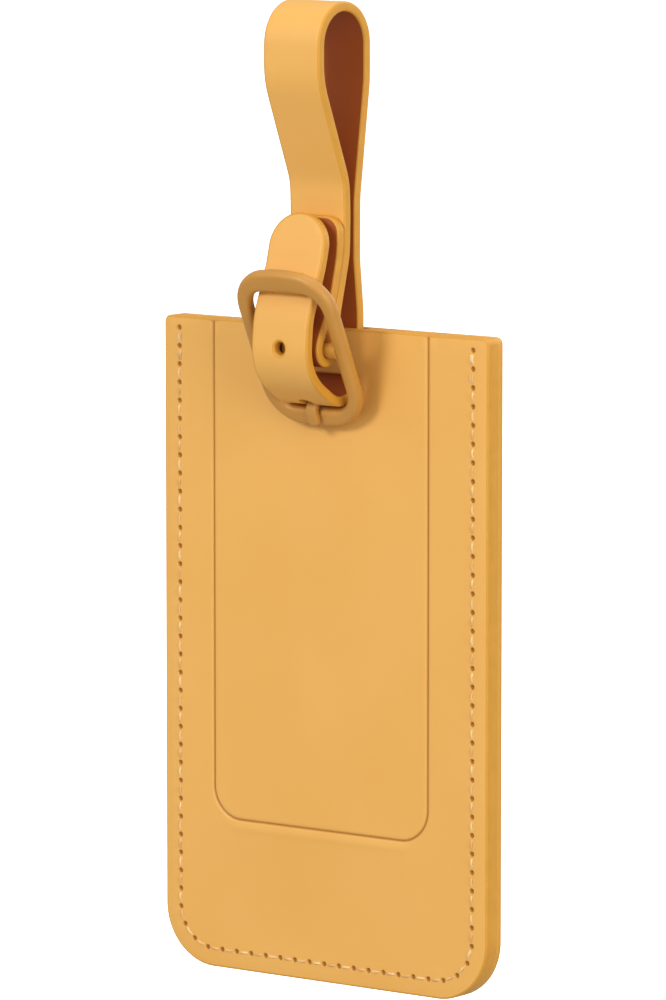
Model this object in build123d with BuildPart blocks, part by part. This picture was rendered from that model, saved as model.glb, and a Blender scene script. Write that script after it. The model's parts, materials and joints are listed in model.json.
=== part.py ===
"""Luggage tag: a stitched sleeve with a pull-out address card, hung from a buckled strap.

Frame: origin at the top of the strap loop, where the loop bears on a handle.
+X runs along the width of the sleeve, -Y is the side that its front panel faces, +Z is up.
"""
import math
import os

from build123d import *

# ---- driving dimensions (mm) -------------------------------------------------
sleeve_width = 73.0
sleeve_height = 120.0
sleeve_shift = -0.8            # the strap sits a little to one side of the sleeve's middle
corner_radius = 11.0           # bottom corners
top_corner_radius = 1.2

leather = 0.9                  # front cover
channel_depth = 2.05           # padded board behind it, notched for the strap
pocket_gap = 0.65              # spacer that keeps the card pocket open
back_board_thickness = 0.4
back_leather = 0.6
edge_round = 0.35

pocket_width = 49.0
pocket_depth = 106.0
card_width = 47.5
card_height = 98.0
card_thickness = 0.35
card_drop = 0.2                # the card's top edge sits just below the sleeve's
card_corner = 3.0
thumb_radius = 9.0

strap_width = 12.5
strap_thickness = 1.8
slot_width = 14.5
slot_top = -8.4                # below the sleeve's top edge
slot_bottom = -14.6
slot_corner = 2.0

emboss_width = 48.4            # pressed line, open at the top edge
emboss_height = 92.0
emboss_radius = 6.0
emboss_shift = -0.95           # its middle, from the sleeve's
emboss_line = 0.5
emboss_depth = 0.25

buckle_width = 21.7
buckle_height = 31.7
buckle_depth = 2.3
buckle_edge_round = 0.7
side_bar = 2.7
top_bar = 4.1
bottom_bar = 3.6
bow = 1.8                      # how far the top and bottom bars bow outwards
window_bow = 0.4               # the same, on the inside of the frame
buckle_corner = 5.2
window_corner = 3.4
centre_bar_radius = 1.3
bar_root_radius = 1.6
root_length = 1.4
buckle_tilt = 25.0             # the frame leans forward at its top (degrees)
pin_clearance = 0.05

prong_width = 2.3
prong_thickness = 1.25
prong_ring = 0.95              # thickness of its ring round the centre bar
prong_jog = 10.4               # how far from the bar it bends forward, and where that ends
prong_jog_end = 12.0
prong_length = 14.8
prong_slot_width = 3.1         # slot in the strap's fold, where the prong holds the bar
prong_slot_radius = 4.3
prong_swing = 4.0              # degrees that the prong lifts off the frame
buckle_rock = 1.0              # degrees that the frame rocks on the strap, and the prong with it

hole_radius = 1.15             # punched holes in the strap
tip_radius = 6.0
fold_corner = 3.0              # corners of the strap's folded-back end

stitch_inset = 3.4
stitch_start = 3.0
stitch_pitch = 3.35
stitch_length = 2.35
thread_width = 0.7
thread_height = 0.3
groove_width = 1.0             # the back's stitches lie sunk in a groove
groove_depth = 0.35

neck_height = 22.0             # the loop swings here, above the sleeve's top edge
neck_y = -0.5
neck_radius = 2.6
neck_gap = 0.1
loop_height = 58.0             # strap centre line at the top of the loop

# ---- places worked out from them ---------------------------------------------
face_y = 3.0                   # front face of the sleeve
ply = strap_thickness / 2
top_z = ply - loop_height      # top edge of the sleeve
sleeve_thickness = leather + channel_depth + pocket_gap + back_board_thickness + back_leather
channel_y = leather + channel_depth / 2 + 0.02
bar_y = -8.1                   # axis of the buckle's centre bar, from the front face
bar_z = -3.2                   # and from the sleeve's top edge
lean = math.radians(buckle_tilt)
fold_radius = centre_bar_radius + pin_clearance + ply
pocket_y = leather + channel_depth
loop_y = -3.0                  # middle of the loop, from the front face
loop_radius = 6.85

# side view of the strap: first coordinate from the front face, second from the top edge
side_view = Plane(origin=(0, face_y, top_z), x_dir=(0, 1, 0), z_dir=(1, 0, 0))
buckle_plane = Plane(
    origin=(0, face_y + bar_y, top_z + bar_z),
    x_dir=(1, 0, 0),
    z_dir=(0, -math.cos(lean), -math.sin(lean)),
)
back_face = Plane(
    origin=(sleeve_shift, face_y + sleeve_thickness, top_z), x_dir=(-1, 0, 0), z_dir=(0, 1, 0)
)


def layer_plane(depth):
    """Plane at a depth behind the front face, facing forward, zero at the top edge's middle."""
    return Plane(origin=(sleeve_shift, face_y + depth, top_z), x_dir=(1, 0, 0), z_dir=(0, -1, 0))


def save(piece, name):
    """Label a finished piece and write its STEP file."""
    piece.label = name
    export_step(piece, f"parts/{name}.step")
    print(f"{name:22s} {len(piece.solids()):4d} solid(s) {piece.volume:10.1f} mm3")


os.makedirs("parts", exist_ok=True)

# ---- sleeve -------------------------------------------------------------------


def sleeve_outline():
    """Outline of the sleeve inside the current sketch: round at the bottom."""
    with Locations((0, -sleeve_height / 2)):
        outline = Rectangle(sleeve_width, sleeve_height)
    fillet(outline.vertices().group_by(Axis.Y)[0], corner_radius)


def seam_route():
    """Line of the stitches round three sides, in the current line."""
    seam_x = sleeve_width / 2 - stitch_inset
    seam_low = stitch_inset - sleeve_height
    FilletPolyline(
        (-seam_x, -stitch_start),
        (-seam_x, seam_low),
        (seam_x, seam_low),
        (seam_x, -stitch_start),
        radius=corner_radius - stitch_inset,
    )


def soften_top_corners():
    """Take the points off the two top corners of the layer being built."""
    fillet(edges().filter_by(Axis.Y).group_by(Axis.Z)[-1], top_corner_radius)


# front cover with its strap slot and pressed line
with BuildPart() as front_panel:
    with BuildSketch(layer_plane(leather)):
        sleeve_outline()
    extrude(amount=leather)
    soften_top_corners()
    fillet(faces().sort_by(Axis.Y)[0].outer_wire().edges(), edge_round)
    with BuildSketch(layer_plane(0)):
        with Locations((-sleeve_shift, (slot_top + slot_bottom) / 2)):
            RectangleRounded(slot_width, slot_top - slot_bottom, slot_corner)
    extrude(amount=-leather, mode=Mode.SUBTRACT)
    with BuildSketch(layer_plane(0)):
        with BuildLine():
            FilletPolyline(
                (emboss_shift - emboss_width / 2, 1),
                (emboss_shift - emboss_width / 2, -emboss_height),
                (emboss_shift + emboss_width / 2, -emboss_height),
                (emboss_shift + emboss_width / 2, 1),
                radius=emboss_radius,
            )
        trace(line_width=emboss_line)
    extrude(amount=-emboss_depth, mode=Mode.SUBTRACT)
save(front_panel.part, "front_panel")

# padded board behind it, notched for the strap
with BuildPart() as front_board:
    with BuildSketch(layer_plane(pocket_y)):
        sleeve_outline()
    extrude(amount=channel_depth)
    soften_top_corners()
    with BuildSketch(layer_plane(leather)):
        with Locations((-sleeve_shift, slot_bottom / 2)):
            Rectangle(slot_width, -slot_bottom)
    extrude(amount=-channel_depth, mode=Mode.SUBTRACT)
save(front_board.part, "front_board")

# U-shaped spacer round the card pocket
with BuildPart() as pocket_spacer:
    with BuildSketch(layer_plane(pocket_y + pocket_gap)):
        sleeve_outline()
    extrude(amount=pocket_gap)
    soften_top_corners()
    with BuildSketch(layer_plane(pocket_y)):
        with Locations((0, -pocket_depth / 2)):
            Rectangle(pocket_width, pocket_depth)
    extrude(amount=-pocket_gap, mode=Mode.SUBTRACT)
save(pocket_spacer.part, "pocket_spacer")

with BuildPart() as back_board:
    with BuildSketch(layer_plane(sleeve_thickness - back_leather)):
        sleeve_outline()
    extrude(amount=back_board_thickness)
    soften_top_corners()
save(back_board.part, "back_board")

with BuildPart() as back_panel:
    with BuildSketch(layer_plane(sleeve_thickness)):
        sleeve_outline()
    extrude(amount=back_leather)
    soften_top_corners()
    fillet(faces().sort_by(Axis.Y)[-1].outer_wire().edges(), edge_round)
    with BuildSketch(back_face):
        with BuildLine():
            seam_route()
        trace(line_width=groove_width)
    extrude(amount=-groove_depth, mode=Mode.SUBTRACT)
save(back_panel.part, "back_panel")

# ---- stitching ----------------------------------------------------------------


def stitching(name, plane):
    """Thread stitches round three sides, standing on the plane."""
    with BuildLine(plane) as seam:
        seam_route()
    path = seam.wire()
    count = round(path.length / stitch_pitch)
    with BuildPart() as thread:
        for index in range(count):
            place = (index + 0.5) / count
            with Locations(Plane(origin=path @ place, x_dir=path % place, z_dir=plane.z_dir)):
                Box(
                    stitch_length,
                    thread_width,
                    thread_height,
                    align=(Align.CENTER, Align.CENTER, Align.MIN),
                )
    save(thread.part, name)


stitching("stitching_front", layer_plane(0))
stitching("stitching_back", back_face.offset(-groove_depth))

# ---- address card ---------------------------------------------------------------
card_y = pocket_y + 0.15
with BuildPart() as address_card:
    with BuildSketch(layer_plane(card_y + card_thickness)):
        with Locations((0, -card_drop - card_height / 2)):
            RectangleRounded(card_width, card_height, card_corner)
        with Locations((-sleeve_shift, -card_drop)):
            Circle(thumb_radius, mode=Mode.SUBTRACT)
    extrude(amount=card_thickness)
save(address_card.part, "address_card")

# ---- strap -----------------------------------------------------------------------
# One strip of two plies. Its centre line runs from the folded-back end, round the buckle's
# centre bar, up the front, over the loop, down into the sleeve, out through the slot, through
# the buckle and up to the tip. It is cut in two bodies at the neck, where it bends.
fold_low = bar_z - fold_radius - 0.05
fold_front = bar_y - fold_radius - 0.05
fold_back = bar_y + fold_radius + 0.05

fold_route = [
    ((-3.92, 20.5), 0),
    ((-4.07, 13.75), 8),
    ((-6.38, 5.25), 3),
    ((fold_front, -2.3), 3),
    ((fold_front, fold_low), fold_radius),
    ((fold_back, fold_low), fold_radius),
    ((fold_back, -0.6), 5),
    ((-4.55, 4.6), 5),
    ((-2.15, 13.5), 10),
    ((-2.0, neck_height + 1.0), 0),
]
loop_route = [
    ((-2.0, 20.0), 0),
    ((-2.2, 26.4), 9),
    ((loop_y - loop_radius, 44.8), 14),
    ((loop_y - loop_radius, loop_height), loop_radius - 0.01),
    ((loop_y + loop_radius, loop_height), loop_radius - 0.01),
    ((loop_y + loop_radius, 44.5), 14),
    ((0.95, neck_height + 1.5), 9),
    ((0.93, 20.0), 0),
]
tail_route = [
    ((0.95, neck_height + 1.0), 0),
    ((0.9, 12.5), 9),
    ((channel_y, 3.2), 9),
    ((channel_y, -11.3), 3),
    ((-4.6, -13.3), 5),
    ((-13.9, -7.2), 8.5),
    ((-13.0, 2.6), 9),
    ((-9.3, 11.6), 9),
    ((-6.9, 21.0), 0),
]


def beside(route, distance):
    """The route moved to its left by a distance: corners mitred, bend radii kept concentric."""
    points = [Vector(*point) for point, radius in route]
    runs = [(after - before).normalized() for before, after in zip(points, points[1:])]
    lefts = [Vector(-run.Y, run.X) for run in runs]
    moved = [(points[0] + lefts[0] * distance, 0)]
    for index in range(1, len(points) - 1):
        left, next_left = lefts[index - 1], lefts[index]
        mitre = (left + next_left) * (distance / (1 + left.dot(next_left)))
        turn = math.copysign(1, runs[index - 1].cross(runs[index]).Z)
        moved.append((points[index] + mitre, route[index][1] - turn * distance))
    moved.append((points[-1] + lefts[-1] * distance, 0))
    return moved


def ply_outline(route, side):
    """Side view of one ply, in the current sketch: side +1 is the grain side, -1 the lining."""
    centre, surface = beside(route, 0), beside(route, side * ply)
    with BuildLine() as outline:
        for moved in (centre, surface):
            radii = [radius for point, radius in moved[1:-1]]
            FilletPolyline(*[point for point, radius in moved], radius=radii)
        Line(centre[0][0], surface[0][0])
        Line(centre[-1][0], surface[-1][0])
    make_face(outline.edges())


def end_cutter(height, radius, near, far):
    """Block that rounds off a strap end at a height, between two depths from the front face."""
    with BuildPart() as cutter:
        with BuildSketch(Plane(origin=(0, face_y + far, top_z), x_dir=(1, 0, 0), z_dir=(0, -1, 0))):
            with Locations((0, height)):
                Rectangle(strap_width + 2, 2 * radius)
            with Locations((0, height - 15)):
                RectangleRounded(strap_width + 0.02, 30, radius, mode=Mode.SUBTRACT)
        extrude(amount=far - near)
    return cutter.part


# prong: a ring round the bar and a tongue that bends forward to rest on the bottom bar
prong_view = Plane(origin=buckle_plane.origin, x_dir=buckle_plane.z_dir, z_dir=(1, 0, 0))
prong_rest = buckle_depth / 2 + pin_clearance + prong_thickness / 2
with BuildPart() as buckle_prong:
    with BuildSketch(prong_view):
        with BuildLine():
            FilletPolyline(
                (0, 0), (0, prong_jog), (prong_rest, prong_jog_end), (prong_rest, prong_length), radius=1.2
            )
        trace(line_width=prong_thickness)
        Circle(centre_bar_radius + pin_clearance + prong_ring)
        Circle(centre_bar_radius + pin_clearance, mode=Mode.SUBTRACT)
    extrude(amount=prong_width / 2, both=True)
save(buckle_prong.part, "buckle_prong")

# room for the prong in the strap, for all that it swings and rocks
hole_low, hole_high = 7.9, 13.0
hole_back = -prong_thickness / 2 - 0.2 - prong_jog * math.tan(math.radians(buckle_rock))
hole_front = prong_thickness / 2 + 1.0 + prong_jog_end * math.tan(math.radians(prong_swing + buckle_rock))
with BuildPart() as prong_hole:
    with BuildSketch(prong_view):
        with Locations(((hole_back + hole_front) / 2, (hole_low + hole_high) / 2)):
            Rectangle(hole_front - hole_back, hole_high - hole_low)
    extrude(amount=prong_width / 2 + 0.3, both=True)
with BuildPart() as prong_slot:
    with BuildSketch(prong_view):
        Circle(prong_slot_radius)
    extrude(amount=prong_slot_width / 2, both=True)
with BuildPart() as punched_hole:
    with BuildSketch(Plane(origin=(0, face_y - 10, top_z - 3.0), x_dir=(1, 0, 0), z_dir=(0, -1, 0))):
        Circle(hole_radius)
    extrude(amount=8)

strap_sides = {"outer": 1, "lining": -1}
tip_cutter = end_cutter(21.0, tip_radius, -9.5, -4.9)
fold_end_cutter = end_cutter(20.3, fold_corner, -4.9, -2.96)
half_strap = strap_width / 2
for ply_name, side in strap_sides.items():
    # above the neck, outside its round seat
    with BuildPart() as strap_loop:
        with BuildSketch(side_view):
            ply_outline(loop_route, side)
            with Locations((neck_y, neck_height - 5)):
                Rectangle(20, 10, mode=Mode.SUBTRACT)
            with Locations((neck_y, neck_height)):
                Circle(neck_radius + neck_gap, mode=Mode.SUBTRACT)
        extrude(amount=half_strap, both=True)
    save(strap_loop.part, f"strap_loop_{ply_name}")

    # below it: the end folded round the centre bar, slotted for the prong
    with BuildPart() as strap_fold:
        with BuildSketch(side_view):
            ply_outline(fold_route, side)
        extrude(amount=half_strap, both=True)
        add(prong_slot.part, mode=Mode.SUBTRACT)
        add(fold_end_cutter, mode=Mode.SUBTRACT)
    save(strap_fold.part, f"strap_fold_{ply_name}")

    # and the tail that goes through the sleeve and the buckle
    with BuildPart() as strap_tail:
        with BuildSketch(side_view):
            ply_outline(tail_route, side)
        extrude(amount=half_strap, both=True)
        add(prong_hole.part, mode=Mode.SUBTRACT)
        add(punched_hole.part, mode=Mode.SUBTRACT)
        add(tip_cutter, mode=Mode.SUBTRACT)
    save(strap_tail.part, f"strap_tail_{ply_name}")

# ---- buckle frame -------------------------------------------------------------------


def bowed_outline(half_width, low, high, rise, corner):
    """Closed outline in the current sketch: straight sides, bowed ends, round corners."""
    with BuildLine() as outline:
        upper = ThreePointArc((-half_width, high - rise), (0, high), (half_width, high - rise))
        Line(upper @ 1, (half_width, low + rise))
        lower = ThreePointArc((half_width, low + rise), (0, low), (-half_width, low + rise))
        Line(lower @ 1, upper @ 0)
    make_face(outline.edges())
    fillet(vertices(), corner)


half_height = buckle_height / 2
window_half = buckle_width / 2 - side_bar
with BuildSketch(buckle_plane.offset(-buckle_depth / 2)) as frame_window:
    bowed_outline(window_half, bottom_bar - half_height, half_height - top_bar, window_bow, window_corner)
with BuildPart() as buckle_frame:
    with BuildSketch(buckle_plane.offset(-buckle_depth / 2)):
        bowed_outline(buckle_width / 2, -half_height, half_height, bow, buckle_corner)
        add(frame_window.sketch_local, mode=Mode.SUBTRACT)
    extrude(amount=buckle_depth)
    rims = edges().filter_by(lambda edge: abs((edge @ 0.5 - edge @ 0).dot(buckle_plane.z_dir)) < 0.01)
    fillet(rims, buckle_edge_round)
    with BuildSketch(prong_view):
        Circle(centre_bar_radius)
    extrude(amount=window_half + side_bar / 2, both=True)
    with BuildSketch(prong_view.offset(window_half - root_length), prong_view.offset(-window_half)):
        Circle(bar_root_radius)
    extrude(amount=root_length)
save(buckle_frame.part, "buckle_frame")
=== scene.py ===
"""Luggage tag: the finished look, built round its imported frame.

Everything is modelled in millimetres of the frame and turned to metres when a mesh is made.
"""
import json
import logging
import math
from bisect import bisect_right
from dataclasses import dataclass, field
from enum import Enum
from typing import Any, Callable, Optional, Sequence

import bpy
import numpy as np
from mathutils import Matrix, Vector
from mathutils.geometry import delaunay_2d_cdt


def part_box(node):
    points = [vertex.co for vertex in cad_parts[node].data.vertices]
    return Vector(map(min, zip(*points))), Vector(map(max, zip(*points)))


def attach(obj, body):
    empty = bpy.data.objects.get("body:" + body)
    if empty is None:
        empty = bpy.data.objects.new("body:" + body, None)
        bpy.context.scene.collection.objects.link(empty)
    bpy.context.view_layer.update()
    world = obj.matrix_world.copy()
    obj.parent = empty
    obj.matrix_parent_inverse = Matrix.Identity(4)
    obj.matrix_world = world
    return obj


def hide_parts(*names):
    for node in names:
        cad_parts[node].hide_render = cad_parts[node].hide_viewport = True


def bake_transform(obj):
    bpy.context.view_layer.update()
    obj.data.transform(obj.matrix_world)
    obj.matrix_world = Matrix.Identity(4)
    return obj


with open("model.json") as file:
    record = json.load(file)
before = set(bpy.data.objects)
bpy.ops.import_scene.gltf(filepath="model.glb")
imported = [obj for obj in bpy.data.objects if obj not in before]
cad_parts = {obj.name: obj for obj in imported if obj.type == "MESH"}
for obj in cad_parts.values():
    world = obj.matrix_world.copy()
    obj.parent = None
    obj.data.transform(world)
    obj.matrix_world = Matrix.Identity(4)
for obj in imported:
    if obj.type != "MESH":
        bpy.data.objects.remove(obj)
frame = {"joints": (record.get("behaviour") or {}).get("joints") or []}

LOG = logging.getLogger("luggage_tag")
MM = 0.001

Material = bpy.types.Material
Object = bpy.types.Object
Line = Sequence[Vector]
Corners = Sequence[tuple[float, float, float]]
Place = Callable[[float, float, float], Vector]
Relief = Callable[[float, float], float]


# ---- plain geometry ----


def arc(centre: Sequence[float], radius: float, start: float, end: float, steps: int) -> list[Vector]:
    """Points of a circular arc, both ends included.

    Args:
        centre: middle of the circle.
        radius: its radius.
        start: first angle in degrees, anticlockwise from the first axis.
        end: last angle in degrees.
        steps: number of equal steps.

    Returns:
        The points in order.
    """
    turns = [math.radians(start + (end - start) * step / steps) for step in range(steps + 1)]
    return [Vector((centre[0] + radius * math.cos(a), centre[1] + radius * math.sin(a))) for a in turns]


def fillet(before: Vector, corner: Vector, after: Vector, radius: float, step: float) -> list[Vector]:
    """Points of the arc that rounds one corner of a line.

    Args:
        before: the point before the corner.
        corner: the corner itself.
        after: the point after it.
        radius: radius of the rounding, or 0 for a sharp corner.
        step: longest distance between two points of the arc.

    Returns:
        The arc's points, or the corner alone where it stays sharp.
    """
    if radius <= 0:
        return [corner]
    back = (before - corner).normalized()
    ahead = (after - corner).normalized()
    half = back.angle(ahead) / 2
    if half > math.pi / 2 - 1e-4:
        return [corner]
    middle = corner + (back + ahead).normalized() * (radius / math.sin(half))
    sweep = math.copysign(math.pi - 2 * half, ahead.cross(back))
    start = corner + back * (radius / math.tan(half)) - middle
    count = max(2, math.ceil(radius * abs(sweep) / step))
    return [middle + Matrix.Rotation(sweep * index / count, 2) @ start for index in range(count + 1)]


def divided(line: Line, spacing: float, closed: bool) -> list[Vector]:
    """The same line with its long stretches divided.

    Args:
        line: points of the line.
        spacing: longest distance between two points of the result.
        closed: whether the line returns to its start.

    Returns:
        The points of the divided line.
    """
    result: list[Vector] = []
    followers = list(line[1:]) + ([line[0]] if closed else [])
    for point, follower in zip(line, followers):
        count = max(1, math.ceil((follower - point).length / spacing))
        result += [point.lerp(follower, index / count) for index in range(count)]
    if not closed:
        result.append(line[-1])
    return result


def rounded(corners: Corners, closed: bool, step: float, spacing: float = math.inf) -> list[Vector]:
    """A line through corners, each rounded by its own radius.

    Args:
        corners: first coordinate, second coordinate and radius of each corner.
        closed: whether the line returns to its start.
        step: longest distance between two points of an arc.
        spacing: longest distance between any two points.

    Returns:
        The line's points.
    """
    spots = [Vector(corner[:2]) for corner in corners]
    line: list[Vector] = []
    for index, corner in enumerate(corners):
        if closed or 0 < index < len(corners) - 1:
            after = spots[(index + 1) % len(spots)]
            line += fillet(spots[index - 1], spots[index], after, corner[2], step)
        else:
            line.append(spots[index])
    return divided(line, spacing, closed)


def four_corners(across: Sequence[float], along: Sequence[float], radii: Sequence[float]) -> Corners:
    """The corners of a box, from one side to its far end and back along the other side.

    Args:
        across: where the first and the second side lie.
        along: where the box starts and ends.
        radii: radius of the corners at its start and at its end.

    Returns:
        The four corners with their radii.
    """
    ways = ((0, 0), (0, 1), (1, 1), (1, 0))
    return [(across[side], along[end], radii[end]) for side, end in ways]


def moved_aside(line: Line, distance: float, closed: bool = True) -> list[Vector]:
    """The line moved to its left.

    Args:
        line: points of the line.
        distance: how far each point moves to the left of the line's direction.
        closed: whether the line returns to its start.

    Returns:
        The moved points, one for each point of the line.
    """
    result: list[Vector] = []
    last = len(line) - 1
    for index, point in enumerate(line):
        before = line[index - 1] if closed or index else point
        after = line[(index + 1) % len(line)] if closed or index < last else point
        along = (after - before).normalized()
        result.append(point + Vector((-along.y, along.x)) * distance)
    return result


def inside(points: np.ndarray, loops: Sequence[Line]) -> np.ndarray:
    """Which points lie inside an outline and outside its holes.

    Args:
        points: an array of shape (n, 2).
        loops: the outline and then the holes.

    Returns:
        An array of n booleans.
    """
    result = np.zeros(len(points), bool)
    for loop in loops:
        ends = np.array([tuple(point) for point in loop])
        for (x0, y0), (x1, y1) in zip(ends, np.roll(ends, -1, 0)):
            crosses = (y0 > points[:, 1]) != (y1 > points[:, 1])
            rise = (y1 - y0) if abs(y1 - y0) > 1e-12 else 1e-12
            result ^= crosses & (points[:, 0] < x0 + (x1 - x0) * (points[:, 1] - y0) / rise)
    return result


def grid(
    low: Vector, high: Vector, spacing: Sequence[float], loops: Sequence[Line], margin: float,
) -> list[Vector]:
    """Evenly spaced points inside an outline and outside its holes.

    Args:
        low: lowest corner of the area.
        high: highest corner of the area.
        spacing: distance between points along each axis.
        loops: the outline and then the holes.
        margin: how far the points keep from every loop.

    Returns:
        The points.
    """
    counts = [max(1, round((high[axis] - low[axis]) / spacing[axis])) for axis in (0, 1)]
    axes = [np.linspace(low[axis], high[axis], counts[axis] + 1) for axis in (0, 1)]
    points = np.array([(a, b) for a in axes[0] for b in axes[1]])
    keep = inside(points, loops)
    for spot in (spot for loop in loops for spot in loop):
        keep &= ((points - np.array(tuple(spot))) ** 2).sum(1) > margin**2
    return [Vector(point) for point in points[keep]]


def lengths_along(points: Line) -> list[float]:
    """The length of a line up to each of its points."""
    lengths = [0.0]
    for point, follower in zip(points, points[1:]):
        lengths.append(lengths[-1] + (follower - point).length)
    return lengths


def between(values: Line, lengths: Sequence[float], length: float) -> Vector:
    """The value at a length along a line, between the values at its points."""
    index = min(max(bisect_right(lengths, length) - 1, 0), len(values) - 2)
    share = (length - lengths[index]) / (lengths[index + 1] - lengths[index])
    return values[index].lerp(values[index + 1], share)


class Route:
    """A smooth line in the tag's side view: first coordinate +Y, second coordinate +Z."""

    def __init__(self, corners: Corners, step: float = 0.35, easing: int = 10):
        """Rounds the corners, evens out the points and eases the joins of the arcs.

        Args:
            corners: the corners with their radii.
            step: distance between the line's points.
            easing: how many times each point moves towards its neighbours' middle.
        """
        coarse = rounded(corners, closed=False, step=0.3)
        lengths = lengths_along(coarse)
        count = round(lengths[-1] / step)
        line = [between(coarse, lengths, lengths[-1] * i / count) for i in range(count + 1)]
        for _ in range(easing):
            line[1:-1] = [(a + b * 2 + c) / 4 for a, b, c in zip(line, line[1:], line[2:])]
        self.points = line
        self.lengths = lengths_along(line)
        self.normals = []
        for index in range(count + 1):
            along = line[min(index + 1, count)] - line[max(index - 1, 0)]
            self.normals.append(Vector((-along.y, along.x)).normalized())

    @property
    def length(self) -> float:
        """The whole length of the line."""
        return self.lengths[-1]

    def span(self, belongs: Callable[[Vector], bool]) -> tuple[float, float]:
        """First and last length at which the line's points belong to a region."""
        found = [length for point, length in zip(self.points, self.lengths) if belongs(point)]
        return found[0], found[-1]

    def place(self, thickness: float) -> Place:
        """How a strip that follows the line is laid out in space.

        Args:
            thickness: the strip's thickness; the line runs through its middle.

        Returns:
            A function from (across, along, depth below the left face) to a point.
        """
        def laid(across: float, along: float, depth: float) -> Vector:
            """One point of the strip."""
            normal = between(self.normals, self.lengths, along).normalized()
            spot = between(self.points, self.lengths, along) + normal * (thickness / 2 - depth)
            return Vector((across, spot.x, spot.y))
        return laid


def linked(name: str, data: Any) -> Object:
    """A new object of the scene, with this data."""
    piece = bpy.data.objects.new(name, data)
    bpy.context.scene.collection.objects.link(piece)
    return piece


def object_from(name: str, points: Line, faces: Sequence[Sequence[int]], smooth: float = 40) -> Object:
    """A mesh object at the origin, from points in millimetres.

    Args:
        name: the piece's name.
        points: its vertices.
        faces: its faces, anticlockwise from outside.
        smooth: edges flatter than this angle in degrees are shaded smooth.

    Returns:
        The linked object.
    """
    mesh = bpy.data.meshes.new(name)
    mesh.from_pydata([tuple(point * MM) for point in points], [], [tuple(face) for face in faces])
    mesh.polygons.foreach_set("use_smooth", [True] * len(mesh.polygons))
    mesh.set_sharp_from_angle(angle=math.radians(smooth))
    mesh.update()
    return linked(name, mesh)


def wall(near: list[int], far: list[int]) -> list[tuple[int, ...]]:
    """The quads between two closed rings of vertices."""
    return list(zip(near, far, far[1:] + far[:1], near[1:] + near[:1]))


def settle(piece: Object, body: Optional[str], slot: str, *nodes: str) -> None:
    """Puts a finished piece in its place on the frame.

    Args:
        piece: the piece.
        body: the body it rides, or None to leave it on no body.
        slot: not used.
        nodes: the nodes of the frame that it replaces.
    """
    if nodes:
        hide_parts(*nodes)
    if body:
        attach(piece, body)
    LOG.info("%s: %d faces", piece.name, len(piece.data.polygons))


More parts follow.
